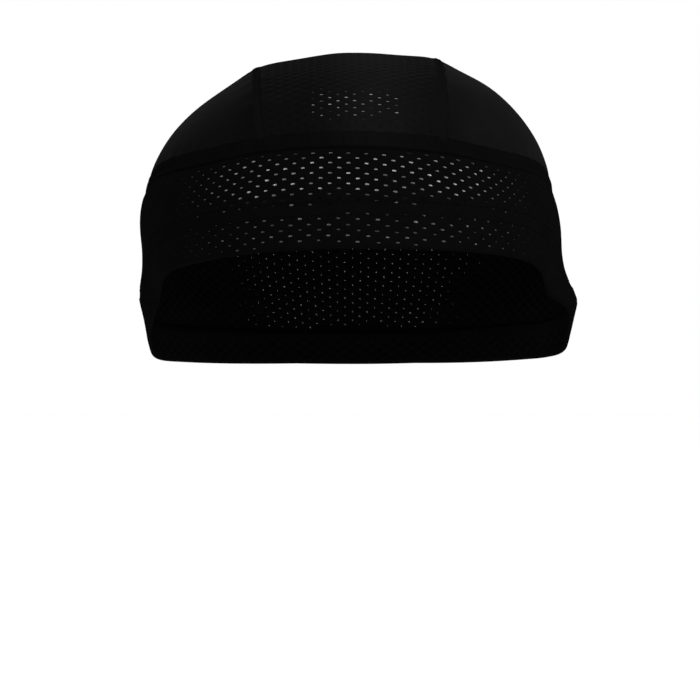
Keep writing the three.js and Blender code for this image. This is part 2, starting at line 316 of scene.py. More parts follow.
def band_seam_drop(yaw):
    return read_table(BAND_SEAM_LINE, "yaw", "drop", from_front(yaw), flat_ends=True)


def crown_seam_x(side, turn):
    column = "left" if side == LEFT else "right"
    return read_table(CROWN_SEAM_LINE, "turn", column, np.clip(turn, 0, 1))


print("half width at the temples:", np.round(form_round([-90, 90], 70)[:, 0], 1), "mm")

# %% [markdown]
# Stitching gathers the cloth a little. Beside each seam the knit rises and falls in small puckers that
# fade within a centimetre, and the band seam draws the whole cap in. Low at each side the cloth is
# pushed out, into a bulge with a crest that runs down and back.

# %% Bulges, ridges and puckers
RIPPLE = {"height": 0.22, "width": 7.0}  # the puckers beside a seam
RIPPLES = {"crown": 26, "band": 66}  # how many there are along each seam
RIPPLE_PHASES = {"crown": 1.7, "band": 0.4}
WANDERS = [{"part": 16, "reach": 1.9, "times": 1}, {"part": 6, "reach": 1.1, "times": 2}]
CHANNEL = {"depth": 0.45, "below": 3.3, "width": 0.7}  # where the band seam's lower edge presses in


def ripple(share, seam, off, side=1):
    """Small puckers beside a seam, which wander a little so that no two are alike."""
    way, count, phase = 2 * np.pi * share, RIPPLES[seam], RIPPLE_PHASES[seam] * side
    wander = sum(
        wave["reach"] * np.sin(way * (count // wave["part"]) + wave["times"] * phase) for wave in WANDERS
    )
    return RIPPLE["height"] * np.sin(way * count + wander) * fall_off(off, RIPPLE["width"])


def lift_at(p):
    """How far the bulges, ridges and puckers push points of the form outwards."""
    drop, yaw, turn = CLOTH - p[..., 2], yaw_of(p), turn_of(p)
    below = drop - band_seam_drop(yaw)
    lift = -PUCKER["depth"] * fall_off(below, PUCKER["width"])
    lift = lift - CHANNEL["depth"] * fall_off(below - CHANNEL["below"], CHANNEL["width"])
    lift = lift + ripple(yaw / 360, "band", below)
    for bulge in SIDE_BULGES:
        start, end = bulge["drop"]
        down = np.clip((drop - start) / (end - start), 0, 1)
        past = p[..., 1] - mix(*bulge["y"], down)
        away = fall_off(past, np.where(past < 0, bulge["ahead"], BULGE_FADE["behind"]))
        away = away * fall_off(np.maximum(0, start - drop), BULGE_FADE["above"])
        on_side = smooth(p[..., 0] * bulge["side"] / BULGE_FADE["above"])
        lift = lift + mix(*bulge["lift"], down) * away * on_side
    above = smooth(-below / RIDGE["fade"])
    for side in (LEFT, RIGHT):
        off = np.abs(p[..., 0] - crown_seam_x(side, turn))
        lift = lift + RIDGE["lift"] * above * np.exp(-np.hypot(off, RIDGE["round"][side]) / RIDGE["width"])
        lift = lift + above * ripple(turn, "crown", off, side)
    for shoulder in SHOULDERS:
        lift = lift + shoulder["lift"] * above * fall_off(p[..., 0] - shoulder["x"], shoulder["width"])
    at_side = np.sin(np.radians(yaw)) ** SIDE_SWELL["power"]
    return lift + SIDE_SWELL["lift"] * at_side * fall_off(below - SIDE_SWELL["below"], SIDE_SWELL["width"])


def outwards_at(p):
    """The direction out of the cloth, away from the middle of the form."""
    middle = np.broadcast_to(CORE, p.shape).copy()
    middle[..., 2] = np.minimum(CORE[2], p[..., 2])
    away = p - middle
    return away / np.linalg.norm(away, axis=-1, keepdims=True)


def cloth_point(p, depth=0.0):
    """Points of the form with their bulges, sunk by depth into the cloth."""
    return p + outwards_at(p) * (lift_at(p) - depth)[..., None]


def crown_rim(yaw):
    return form_round(yaw, band_seam_drop(yaw) - EDGE_GAP / 2)


def crown_path(x_at, share):
    """The points of a path over the crown, by its share of the way. x_at gives its x at each turn."""
    side = np.sign(x_at(np.array(0.5))) or RIGHT

    def rim_turn(low, high):
        for _ in range(HALVINGS["rim"]):
            middle = (low + high) / 2
            rim = crown_rim(middle)
            if abs(rim[0]) < abs(x_at(turn_of(rim))):
                low = middle
            else:
                high = middle
        return turn_of(crown_rim(low))

    turn = mix(rim_turn(0.0, side * SIDE_YAW), rim_turn(side * 180.0, side * SIDE_YAW), share)
    start = np.stack([x_at(turn), np.full_like(turn, CORE[1]), np.full_like(turn, CORE[2])], axis=-1)
    angle = np.pi * turn
    direction = np.stack([np.zeros_like(turn), -np.cos(angle), np.sin(angle)], axis=-1)
    return form_along(start, direction)


print("crown centre line:", np.round(crown_path(lambda t: 0 * t, np.linspace(0, 1, 3)), 1).tolist())

# %% [markdown]
# ## Sheets to lay the cloth on
#
# Cloth is cut flat and takes its shape when it is worn. Here it is the same: each sheet is a fine grid
# over one patch of the form, and its UV map tells where each place lies on the flat cloth. Whatever is
# drawn flat, such as a piercing or a stitch, can then be laid on the curved sheet.

# %% Form sheets
CROWN_CELL_COLUMNS = 22
CROWN_SHEET = {"columns": 67, "rows": 181}
VECTOR = "FLOAT_VECTOR"
FINE = {"over": 401, "round": 1441, "down": 161}  # how many points measure a line over or round the cap


def run_along(points):
    """The distance run along a line of points, up to each of them."""
    steps = np.linalg.norm(np.diff(points, axis=0), axis=-1)
    return np.concatenate([np.zeros((1, *steps.shape[1:])), np.cumsum(steps, axis=0)])


def grid_faces(columns, rows):
    """Quads between the points of a grid, whose point (c, r) has the number c * rows + r."""
    c, r = np.meshgrid(np.arange(columns - 1), np.arange(rows - 1), indexing="ij")
    first = (c * rows + r).ravel()
    return np.stack([first, first + rows, first + rows + 1, first + 1], axis=1)


def add_point_values(mesh, name, kind, values):
    attribute = mesh.attributes.new(name, kind, "POINT")
    field = "vector" if kind == VECTOR else "value"
    attribute.data.foreach_set(field, np.ascontiguousarray(values, np.float32).ravel())


def set_uv(mesh, uv):
    """Gives a mesh a UV map, from one pair for each of its vertices."""
    corner_vertices = np.empty(len(mesh.loops), np.int32)
    mesh.loops.foreach_get("vertex_index", corner_vertices)
    layer = mesh.uv_layers.new(name="UVMap")
    layer.data.foreach_set("uv", np.asarray(uv, np.float32)[corner_vertices].ravel())


def form_sheet(name, points, outwards, u, v, upper):
    """A hidden grid over a patch of the form, from its points in millimetres (columns, rows, xyz).
    upper is the length in metres of the flat cloth that v runs over from 0 to 1, in each column."""
    columns, rows = points.shape[:2]
    mesh = bpy.data.meshes.new(name)
    mesh.from_pydata((points * MM).reshape(-1, 3).tolist(), [], grid_faces(columns, rows).tolist())
    u = np.broadcast_to(np.asarray(u)[:, None], (columns, rows))
    set_uv(mesh, np.stack([u, np.broadcast_to(v, (columns, rows))], axis=-1).reshape(-1, 2))
    add_point_values(mesh, "outwards", VECTOR, outwards)
    upper = np.broadcast_to(np.asarray(upper, float).reshape(-1, 1), (columns, rows))
    add_point_values(mesh, "upper", "FLOAT", upper)
    return add_object(name, mesh)


def strip_points(left_x, right_x, columns, rows):
    """Points of the form between two lines over the crown, evenly spaced from front to back."""
    fine = np.linspace(0, 1, FINE["over"])
    middle_line = crown_path(lambda turn: (left_x(turn) + right_x(turn)) / 2, fine)
    run = run_along(cloth_point(middle_line))
    share = np.interp(np.linspace(0, run[-1], rows), run, fine)
    paths = [
        crown_path(lambda turn, t=t: mix(left_x(turn), right_x(turn), t), share)
        for t in np.linspace(0, 1, columns)
    ]
    return np.stack(paths), float(run[-1])


def crown_edges():
    trim = EDGE_GAP / 2
    return (
        lambda turn: crown_seam_x(LEFT, turn) + trim,
        lambda turn: crown_seam_x(RIGHT, turn) - trim,
    )


strip, STRIP_LENGTH = strip_points(*crown_edges(), CROWN_SHEET["columns"], CROWN_SHEET["rows"])
STRIP_WIDTH = float(run_along(cloth_point(strip[:, CROWN_SHEET["rows"] // 2]))[-1])
u, v = (np.linspace(0, 1, CROWN_SHEET[way]) for way in ("columns", "rows"))
strip_sheet = form_sheet(
    "form of the crown strip", cloth_point(strip), outwards_at(strip), u, v, STRIP_LENGTH * MM
)
print("crown strip:", round(STRIP_WIDTH), "by", round(STRIP_LENGTH), "mm")

# %% [markdown]
# The headband is one length of cloth. It starts at the band seam, runs down the outside, turns round
# the fold at the hem and comes up again inside, where the hem's stitching catches it. The sheet follows
# that whole way, so that the piercings run on round the fold as they do on real cloth.

# %% The headband's sheet
HEADBAND_SHEET = {"columns": 385, "upper": 40, "hem": 15, "bend": 13}
FOLD_RADIUS = HEM_DEEP / 2
HEM_ROWS = 8
BEND_LEVELS = (7, 9)  # the fold takes these of the hem's half rows
BEND_MARGIN = 0.5  # and no hole's middle is nearer to it than this, in half rows
CLOTH_TURN = -1.8  # degrees that the cloth is turned round the cap
GIRTH_BELOW = 20  # how far below the band seam's line the girth is measured
HEM_DIP = {"depth": 0.35, "width": 2.4}  # the groove that the hem's stitching draws


def headband_yaws(count):
    """Yaws from the back round by the right, front and left, evenly spaced along the cloth."""
    yaw = np.linspace(180, -180, FINE["round"]) + CLOTH_TURN
    run = run_along(cloth_point(form_round(yaw, band_seam_drop(yaw) + GIRTH_BELOW)))
    return np.interp(np.linspace(0, run[-1], count), run, yaw), float(run[-1])


def headband_rows(yaw):
    """The places down one column of the headband: points, outward directions, shares v and the length
    of cloth down to the hem's stitching. v runs from 0 to 1 down to there, and from 1 to 2 round the
    fold and up inside."""
    drops = np.linspace(band_seam_drop(yaw) + EDGE_GAP / 2, hem_drop(yaw), FINE["down"])
    run = run_along(cloth_point(form_round(yaw, drops)))
    upper = run[-1] - HEM_TURN
    to_stitches = np.linspace(0, upper, HEADBAND_SHEET["upper"])
    to_bend = np.linspace(upper, run[-1] - FOLD_RADIUS, HEADBAND_SHEET["hem"])
    run_down = np.concatenate([to_stitches, to_bend[1:]])
    outside = form_round(yaw, np.interp(run_down, run, drops))
    out = outwards_at(outside)
    outer = cloth_point(outside)
    down = outer[-1] - outer[-2]
    down = down / np.linalg.norm(down)
    turn = np.linspace(0, np.pi, HEADBAND_SHEET["bend"])[1:-1, None]
    round_fold = out[-1] * np.cos(turn) + down * np.sin(turn)
    inside_rows = slice(None, HEADBAND_SHEET["upper"] - 2, -1)
    inner = outer[inside_rows] - out[inside_rows] * HEM_DEEP
    middle = outer[-1] - out[-1] * FOLD_RADIUS
    dip = HEM_DIP["depth"] * fall_off(run_down - upper, HEM_DIP["width"])
    outer = outer - out * dip[:, None]
    points = np.concatenate([outer, middle + round_fold * FOLD_RADIUS, inner])
    directions = np.concatenate([out, round_fold, -out[inside_rows]])
    low, high = (level / (2 * HEM_ROWS) for level in BEND_LEVELS)
    down_share = low * np.linspace(0, 1, len(to_bend))[1:]
    bend_share = mix(low, high, turn[:, 0] / np.pi)
    up_share = 1 - np.concatenate([[0], down_share])[::-1]
    v = np.concatenate([to_stitches / upper, 1 + down_share, 1 + bend_share, 1 + up_share])
    return points, directions, v, upper


sheet_yaws, HEADBAND_GIRTH = headband_yaws(HEADBAND_SHEET["columns"])
band_parts = zip(*(headband_rows(yaw) for yaw in sheet_yaws))
points, directions, v, UPPER_LENGTHS = (np.stack(part) for part in band_parts)
u = np.linspace(0, 1, HEADBAND_SHEET["columns"])
headband_sheet = form_sheet("form of the headband", points, directions, u, v, UPPER_LENGTHS * MM)
single = np.round([UPPER_LENGTHS.min(), UPPER_LENGTHS.max()])
print("headband:", round(HEADBAND_GIRTH), "mm round, single cloth", single, "mm high")

# %% [markdown]
# ## Node trees written as Python
#
# Geometry and materials in Blender are both trees of nodes. One small class adds any node, and another
# wraps a socket so that sums can be written as sums.

# %% Values and nodes


class Value:
    """What flows out of a node's socket. Arithmetic on values adds Math nodes to their tree."""

    def __init__(self, nodes, socket):
        self.nodes, self.socket = nodes, socket

    def __add__(self, other):
        return self.nodes.math("ADD", self, other)

    def __sub__(self, other):
        return self.nodes.math("SUBTRACT", self, other)

    def __rsub__(self, other):
        return self.nodes.math("SUBTRACT", other, self)

    def __mul__(self, other):
        return self.nodes.math("MULTIPLY", self, other)

    def __truediv__(self, other):
        return self.nodes.math("DIVIDE", self, other)

    def __gt__(self, other):
        return self.nodes.math("GREATER_THAN", self, other)

    def __lt__(self, other):
        return self.nodes.math("LESS_THAN", self, other)

    __radd__, __rmul__ = __add__, __mul__


class Nodes:
    """A tree to which nodes are added."""

    def __init__(self, tree):
        self.tree = tree

    def add(self, kind, sockets=None, **settings):
        """Adds a node of a kind, with its settings and the values or links of its sockets.
        What comes back gives the value of an output by its name or number."""
        made = self.tree.nodes.new(kind)
        for name, setting in settings.items():
            setattr(made, name, setting)
        for key, wanted in (sockets or {}).items():
            for value in wanted if isinstance(wanted, list) else [wanted]:
                if isinstance(value, Value):
                    self.tree.links.new(value.socket, made.inputs[key])
                else:
                    made.inputs[key].default_value = value
        return lambda output=0: Value(self, made.outputs[output])

    def math(self, operation, *values):
        return self.add("ShaderNodeMath", dict(enumerate(values)), operation=operation)()

    def vector(self, operation, *values):
        return self.add("ShaderNodeVectorMath", dict(enumerate(values)), operation=operation)()

    def scale(self, vector, factor):
        sockets = {0: vector, "Scale": factor}
        return self.add("ShaderNodeVectorMath", sockets, operation="SCALE")()

    def limit(self, value, low, high):
        return self.math("MINIMUM", self.math("MAXIMUM", value, low), high)

    def ramp(self, value, start, end):
        """Runs smoothly from one value to another. start and end are pairs of what goes in and out."""
        sockets = {0: value, 1: start[0], 2: end[0], 3: start[1], 4: end[1]}
        return self.add("ShaderNodeMapRange", sockets, interpolation_type="SMOOTHSTEP")()

    def split(self, vector):
        made = self.add("ShaderNodeSeparateXYZ", {0: vector})
        return made(0), made(1), made(2)

    def join(self, x=0.0, y=0.0, z=0.0):
        return self.add("ShaderNodeCombineXYZ", {0: x, 1: y, 2: z})()

    def place(self):
        return self.add("GeometryNodeInputPosition")()

    def attribute(self, name, kind="FLOAT"):
        return self.add("GeometryNodeInputNamedAttribute", {0: name}, data_type=kind)()


def new_tree(name, numbers, **kinds):
    """A Geometry Nodes tree whose inputs are a geometry, a form, named numbers and others of other kinds,
    with one geometry out. Gives the tree's nodes and the values of its inputs."""
    tree = bpy.data.node_groups.new(name, "GeometryNodeTree")
    sockets = {"Geometry": "Geometry", "Form": "Object", **dict.fromkeys(numbers, "Float"), **kinds}
    for label, kind in sockets.items():
        tree.interface.new_socket(label, in_out="INPUT", socket_type="NodeSocket" + kind)
    tree.interface.new_socket("Geometry", in_out="OUTPUT", socket_type="NodeSocketGeometry")
    nodes = Nodes(tree)
    entry = nodes.add("NodeGroupInput")
    return nodes, {label: entry(label) for label in sockets}


def end_tree(nodes, geometry):
    nodes.add("NodeGroupOutput", {0: geometry})
    return nodes.tree


print("node helpers are ready")

# %% [markdown]
# ## Laying flat work on the form
#
# Whatever is drawn flat, in metres, keeps its flat place in an attribute called flat. This tree looks up
# each place on a form sheet by its UV, which gives a point and an outward direction, and the height over
# the flat cloth becomes height over the sheet. A skew lowers the rows at one side of the cap and lifts
# them at the other. Both the piercings and the stitches use the tree.

# %% The laying tree
TINY = 1e-5
SKEW_EASE = 4.5  # a skew of the rows grows over so many millimetres from the cloth's edge
LOWER_FROM = 0.5  # flat work of the hem is drawn from here on, clear of the work above it
LAY_SIZES = ("Girth", "Lower", "Skew")


def lay(nodes, geometry, given, selection=True):
    sockets = {"Geometry": geometry, "Selection": selection}
    sockets.update({name: given[name] for name in ("Form", *LAY_SIZES)})
    return nodes.add("GeometryNodeGroup", sockets, node_tree=laying_tree)()


def store(nodes, geometry, name, value, kind="FLOAT", domain="POINT", selection=True):
    sockets = {"Geometry": geometry, "Selection": selection, "Name": name, "Value": value}
    return nodes.add("GeometryNodeStoreNamedAttribute", sockets, data_type=kind, domain=domain)()


def make_laying_tree():
    nodes, given = new_tree("lay on form", LAY_SIZES, Selection="Bool")
    form = nodes.add("GeometryNodeObjectInfo", {"Object": given["Form"]})("Geometry")
    uv_map = nodes.attribute("UVMap", VECTOR)

    def sampled(value, at, kind):
        sockets = {0: form, 1: value, 2: uv_map, 3: at}
        return nodes.add("GeometryNodeSampleUVSurface", sockets, data_type=kind)(0)

    x, y, z = nodes.split(nodes.attribute("flat", VECTOR))
    u = nodes.limit(x / given["Girth"], TINY, 1 - TINY)
    upper_here = sampled(nodes.attribute("upper"), nodes.join(u, 0.5), "FLOAT")
    skew = given["Skew"] * nodes.math("SINE", u * (2 * math.pi))
    start, end = (0.0, 0.0), (SKEW_EASE * MM, 1.0)
    upper = y + skew * nodes.ramp(y, start, end)
    v_upper = nodes.limit(upper / upper_here, TINY, 1 - TINY)
    below = y - LOWER_FROM
    lower = below + skew * nodes.ramp(below, start, end) * nodes.ramp(given["Lower"] - below, start, end)
    v_lower = nodes.limit(lower / given["Lower"] + 1, 1 + TINY, 2 - TINY)
    v = v_upper + (y > LOWER_FROM / 2) * (v_lower - v_upper)
    at = nodes.join(u, v)
    place = sampled(nodes.place(), at, VECTOR)
    out = sampled(nodes.attribute("outwards", VECTOR), at, VECTOR)
    kept = store(nodes, given["Geometry"], "out", out, VECTOR, selection=given["Selection"])
    position = nodes.vector("ADD", place, nodes.scale(out, z))
    laid = {"Geometry": kept, "Selection": given["Selection"], "Position": position}
    return end_tree(nodes, nodes.add("GeometryNodeSetPosition", laid)())


laying_tree = make_laying_tree()
print("nodes in the laying tree:", len(laying_tree.nodes))

# %% [markdown]
# ## Pierced knit
#
# The mesh is knitted: rows of small oval holes, and each column is half a step lower than the last. One
# cell holds one hole. The cell is instanced on a lattice of points and the cells are welded into one
# cloth. It is laid on the form, and its faces are extruded inwards, which gives the cloth its thickness
# and each hole its wall. Where a seam or the hem's stitching closes the holes, a plain cell takes the
# place of a pierced one.

# %% The pierced cloth's tree
WELD = 0.00002  # points closer than this, in metres, become one
CORNERS = 8  # points round a cell's border
SQUARING = 1.2  # rounding a circle's points times this gives those of a square


def weld(nodes, geometry):
    return nodes.add("GeometryNodeMergeByDistance", {"Geometry": geometry, "Distance": WELD})()


def mix_vectors(nodes, factor, a, b):
    return nodes.add("ShaderNodeMix", {0: factor, 4: a, 5: b}, data_type="VECTOR")(1)


def make_cell(nodes, given, is_pierced):
    """A cell: eight points round its border, and in a pierced one the oval rim of its hole."""
    fill = "NONE" if is_pierced else "TRIANGLE_FAN"
    ring = nodes.add("GeometryNodeMeshCircle", {"Vertices": CORNERS, "Radius": 1.0}, fill_type=fill)()
    is_border = 1.0
    if is_pierced:
        extruded = nodes.add("GeometryNodeExtrudeMesh", {"Mesh": ring, "Offset Scale": 0.0}, mode="EDGES")
        ring, is_border = extruded("Mesh"), extruded("Top")
    ring = store(nodes, ring, "border", is_border)
    spot = nodes.place()
    squared = nodes.vector("MULTIPLY_ADD", spot, (SQUARING, SQUARING, 0), (0.5, 0.5, 0))
    border, rim = (
        nodes.vector("MULTIPLY", at, nodes.join(given[part + " Width"] / 2, given[part + " Height"] / 2))
        for part, at in (("Cell", nodes.vector("FLOOR", squared)), ("Hole", spot))
    )
    placed = mix_vectors(nodes, nodes.attribute("border"), rim, border)
    return nodes.add("GeometryNodeSetPosition", {"Geometry": ring, "Position": placed})()


def drawn_in(nodes, spot, old_middle, scale):
    """The rim of a hole, drawn in about the hole's own middle. The border of the cell stays."""
    offset = nodes.vector("MULTIPLY", nodes.vector("SUBTRACT", spot, old_middle), nodes.join(scale, scale))
    moved = nodes.vector("ADD", nodes.attribute("middle", VECTOR), offset)
    return mix_vectors(nodes, nodes.attribute("border"), moved, spot)


def end_piece(nodes, geometry, material):
    """Ends a tree with what it made shaded smooth and given its material."""
    shaded = nodes.add("GeometryNodeSetShadeSmooth", {0: geometry})()
    real = nodes.add("GeometryNodeRealizeInstances", {0: shaded})()
    return end_tree(nodes, nodes.add("GeometryNodeSetMaterial", {"Geometry": real, "Material": material})())


def make_pierced_tree():
    sizes = ("Cell Width", "Cell Height", "Hole Width", "Hole Height", "Taper", "Wall")
    nodes, given = new_tree("pierced knit", LAY_SIZES + sizes, Material="Material")
    plain = nodes.attribute("plain")
    cells = [
        nodes.add(
            "GeometryNodeInstanceOnPoints",
            {"Points": given["Geometry"], "Selection": chosen, "Instance": make_cell(nodes, given, kind)},
        )()
        for chosen, kind in ((plain < 0.5, True), (plain > 0.5, False))
    ]
    cloth = nodes.add("GeometryNodeJoinGeometry", {0: cells})()
    cloth = nodes.add("GeometryNodeRealizeInstances", {0: cloth})()
    cell = nodes.attribute("cell", VECTOR)
    opened = drawn_in(nodes, nodes.place(), cell, nodes.attribute("open"))
    cloth = store(nodes, cloth, "flat", opened, VECTOR)
    cloth = store(nodes, cloth, "UVMap", nodes.attribute("flat", VECTOR), "FLOAT2", "CORNER")
    cloth = weld(nodes, lay(nodes, cloth, given))
    extruded = nodes.add(
        "GeometryNodeExtrudeMesh", {"Mesh": cloth, "Offset Scale": 0.0, "Individual": False}, mode="FACES"
    )
    inner = store(nodes, extruded("Mesh"), "inner", extruded("Top"))
    is_throat = nodes.attribute("border") < 0.5
    # Each hole's walls keep how much painted light is seen through it.
    inner = store(nodes, inner, "throat", nodes.attribute("pale"), domain="FACE", selection=is_throat)
    is_inner = nodes.attribute("inner") > 0.5
    sunk = nodes.scale(nodes.attribute("out", VECTOR), given["Wall"] * -1)
    moved = {"Geometry": inner, "Selection": is_inner, "Offset": sunk}
    inner = nodes.add("GeometryNodeSetPosition", moved)()
    is_rim = (nodes.attribute("inner") - nodes.attribute("border")) > 0.5
    middle = nodes.attribute("middle", VECTOR)
    rim = drawn_in(nodes, nodes.attribute("flat", VECTOR), middle, given["Taper"])
    rim = nodes.vector("SUBTRACT", rim, nodes.join(0.0, 0.0, given["Wall"]))
    inner = store(nodes, inner, "flat", rim, VECTOR, selection=is_rim)
    inner = lay(nodes, inner, given, is_rim)
    inner = nodes.add("GeometryNodeFlipFaces", {0: inner})()
    solid = weld(nodes, nodes.add("GeometryNodeJoinGeometry", {0: [cloth, inner]})())
    return end_piece(nodes, solid, given["Material"])


pierced_tree = make_pierced_tree()
print("nodes in the pierced cloth's tree:", len(pierced_tree.nodes))

# %% [markdown]
# A tree is run on seed points by a modifier. The result is kept as a plain mesh and the modifier goes,
# so that what is handed on depends on nothing else.

# %% Growing a piece from seeds
WORK_NAMES = ("flat", "out", "cell", "middle", "border", "open", "plain", "pale", "inner", "turn", "size")


def seed_mesh(name, places, shifts=0.0, **values):
    """Loose points at flat places in metres, with a value of each attribute for every point.
    shifts say how far the middle of each hole lies from the middle of its cell."""
    mesh = bpy.data.meshes.new(name)
    middles = np.column_stack([places + shifts, np.zeros(len(places))])
    places = np.column_stack([places, np.zeros(len(places))])
    mesh.from_pydata(places.tolist(), [], [])
    add_point_values(mesh, "cell", VECTOR, places)
    add_point_values(mesh, "middle", VECTOR, middles)
    for key, value in values.items():
        add_point_values(mesh, key, "FLOAT", np.broadcast_to(value, len(places)))
    return mesh


def grow(name, seeds, tree, **values):
    """Runs a tree on seeds and keeps what it makes. The tree's inputs are given by their names."""
    made = add_object(name, seeds)
    modifier = made.modifiers.new("tree", "NODES")
    modifier.node_group = tree
    for item in tree.interface.items_tree:
        key = item.name.replace(" ", "_").lower()
        if key in values:
            modifier[item.identifier] = values[key]
    evaluated = made.evaluated_get(bpy.context.evaluated_depsgraph_get())
    mesh = bpy.data.meshes.new_from_object(evaluated)
    made.modifiers.clear()
    made.data = mesh
    for work_name in WORK_NAMES:
        if work_name in mesh.attributes:
            mesh.attributes.remove(mesh.attributes[work_name])
    return made


def count_triangles(piece):
    return sum(len(face.vertices) - 2 for face in piece.data.polygons)


print("seeds can be grown")

# %% [markdown]
# ## Cloth materials
#
# The knit is matt black, with a faint sheen, and fine noise keeps it from being one flat tone. A bump of
# wales and courses, about a millimetre apart, catches the light where it grazes. Light and shade are
# also painted into the colour: painted light makes a lane along the crown strip, the tops of the side
# panels and the front of the band seam paler, and painted shade darkens the panels beside the crown
# seams and each tape at its edges. The walls of the holes in front are painted pale, as painted light
# seen through the holes, so that the holes read as rows of dots on the black.

# %% Cloth materials
BAND_BLACK = (0.0017, 0.0017, 0.0017)
CROWN_BLACK = (0.0037, 0.0036, 0.0036)
THREAD_BLACK = (0.0028, 0.0027, 0.0027)
PAINTED_HOLE_LIGHT = (0.72, 0.72, 0.73)  # painted light seen through the holes in front, painted on their walls
SHEEN = {"crown": 0.009, "band": 0.001, "roughness": 0.3}
LOOPS = {  # the width, height and depth of a knit's loops, in metres
    "mesh": (0.0011, 0.0009, 0.00008),
    "smooth": (0.0010, 0.0012, 0.00008),
    "thread": (0.0009, 0.0013, 0.00006),
}
NOISE = {"Scale": 90.0, "Detail": 4.0}
TONE = {"least": 0.8, "noise": 0.4, "loops": 0.12}
ROUGHNESS = {"least": 0.84, "noise": 0.12}
BUMP = 0.5
TAPE_PAINTED_SHADE = {"from": 0.3, "tone": 0.55}  # painted shade: a tape darkens from so far off its middle, where 0.5 is its edge
# Painted highlight: the crown strip is painted paler along a lane near its middle, where a broad highlight
# lies.
STRIP_PAINTED_HIGHLIGHT = {"axis": 0, "middle": 0.010, "width": 0.026, "high": 1.06, "low": 0.64}
# Painted light and shade: the band seam's tape is painted paler in front and darker at the sides.
SEAM_PAINTED_LIGHT = {"axis": 0, "middle": 0.008, "width": 0.030, "high": 0.88, "low": 0.68}
# Painted light and shade: the side panels are painted paler towards the top and darker low down, and the
# right one paler, towards the key lamp.
PANEL_PAINTED_LIGHT = {
    LEFT: {"axis": 2, "middle": 0.0, "width": 0.026, "high": 1.25, "low": 0.74},
    RIGHT: {"axis": 2, "middle": 0.0, "width": 0.026, "high": 1.6, "low": 0.9},
}
PANEL_PAINTED_SHADE = {"width": 0.022, "tone": 0.8}  # painted shade: the knit is painted darker beside the crown's seam


def cloth_material(name, colour, loop, sheen, tape_width=None, paler=None, painted_seam_shade=None):
    """Knit of a colour, with loops of a kind. A tape, given its width, gets painted shade at its two edges.
    The argument after the width says where along an axis of the cap painted light makes the cloth paler and
    painted shade makes it darker, and the last argument how much painted shade darkens it at its first
    edge."""
    wale, course, depth = LOOPS[loop]
    made = bpy.data.materials.new(name)
    made.use_nodes = True
    shader = made.node_tree.nodes["Principled BSDF"]
    nodes = Nodes(made.node_tree)
    shader.inputs["Specular IOR Level"].default_value = 0
    shader.inputs["Sheen Weight"].default_value = sheen
    shader.inputs["Sheen Roughness"].default_value = SHEEN["roughness"]
    place = nodes.add("ShaderNodeTexCoord")("Object")
    noise = nodes.add("ShaderNodeTexNoise", {"Vector": place, **NOISE})("Fac")
    x, y, _ = nodes.split(nodes.add("ShaderNodeUVMap", uv_map="UVMap")())
    loops = nodes.math("SINE", x * (2 * math.pi / wale)) * nodes.math("SINE", y * (2 * math.pi / course))
    tone = noise * TONE["noise"] + TONE["least"] + loops * TONE["loops"]
    # Painted shade along a tape's two edges.
    if tape_width:
        off_middle = nodes.math("ABSOLUTE", y / tape_width - 0.5)
        tone = tone * nodes.ramp(off_middle, (TAPE_PAINTED_SHADE["from"], 1.0), (0.5, TAPE_PAINTED_SHADE["tone"]))
    # Painted light and shade along an axis of the cap.
    if paler:
        off = nodes.math("ABSOLUTE", nodes.split(place)[paler["axis"]] - paler["middle"])
        tone = tone * nodes.ramp(off, (0.0, paler["high"]), (paler["width"], paler["low"]))
    # Painted shade beside the cloth's first edge.
    if painted_seam_shade:
        tone = tone * nodes.ramp(y, (0.0, painted_seam_shade["tone"]), (painted_seam_shade["width"], 1.0))
    # Painted light seen through the holes: their walls are mixed towards a pale grey.
    throat = nodes.add("ShaderNodeAttribute", attribute_name="throat")("Fac")
    colours = {0: throat, 6: nodes.scale(colour, tone), 7: (*PAINTED_HOLE_LIGHT, 1)}
    for label, value in (
        ("Base Color", nodes.add("ShaderNodeMix", colours, data_type="RGBA")(2)),
        ("Roughness", noise * ROUGHNESS["noise"] + ROUGHNESS["least"]),
        ("Normal", nodes.add("ShaderNodeBump", {"Strength": BUMP, "Distance": depth, "Height": loops})()),
    ):
        made.node_tree.links.new(value.socket, shader.inputs[label])
    return made


def tape_thread(name, width, **looks):
    """The thread of a tape, whose width is given in millimetres."""
    # The width places the painted shade along the tape's edges.
    return cloth_material(name, THREAD_BLACK, "thread", SHEEN["band"], tape_width=width * MM, **looks)


def smooth_knit(name, side):
    # Painted light and shade over the panel, and painted shade beside its crown seam.
    looks = {"paler": PANEL_PAINTED_LIGHT[side], "painted_seam_shade": PANEL_PAINTED_SHADE}
    return cloth_material(name, CROWN_BLACK, "smooth", SHEEN["crown"], **looks)


band_cloth = cloth_material("pierced knit of the band", BAND_BLACK, "mesh", SHEEN["band"])
strip_cloth = cloth_material(
    "pierced knit of the crown", CROWN_BLACK, "mesh", SHEEN["crown"], paler=STRIP_PAINTED_HIGHLIGHT
)
smooth_cloths = {
    LEFT: smooth_knit("smooth knit left", LEFT),
    RIGHT: smooth_knit("smooth knit right", RIGHT),
}
band_thread = tape_thread("cover thread of the band", BAND_SEAM_WIDTH, paler=SEAM_PAINTED_LIGHT)
crown_thread = tape_thread("cover thread of the crown", CROWN_SEAM_WIDTH)
cloths = (band_cloth, strip_cloth, *smooth_cloths.values(), band_thread, crown_thread)
print("cloth materials:", [cloth.name for cloth in cloths])

# %% [markdown]
# ## The headband
#
# The lattice has as many columns as fit round the cap, and an even number, so that the staggered
# columns also match at the back. Its rows run a little lower at the right side than at the left. The
# cells below the stitching are drawn further on, which gives the hem its own rows: they run on down,
# round the fold and up inside.

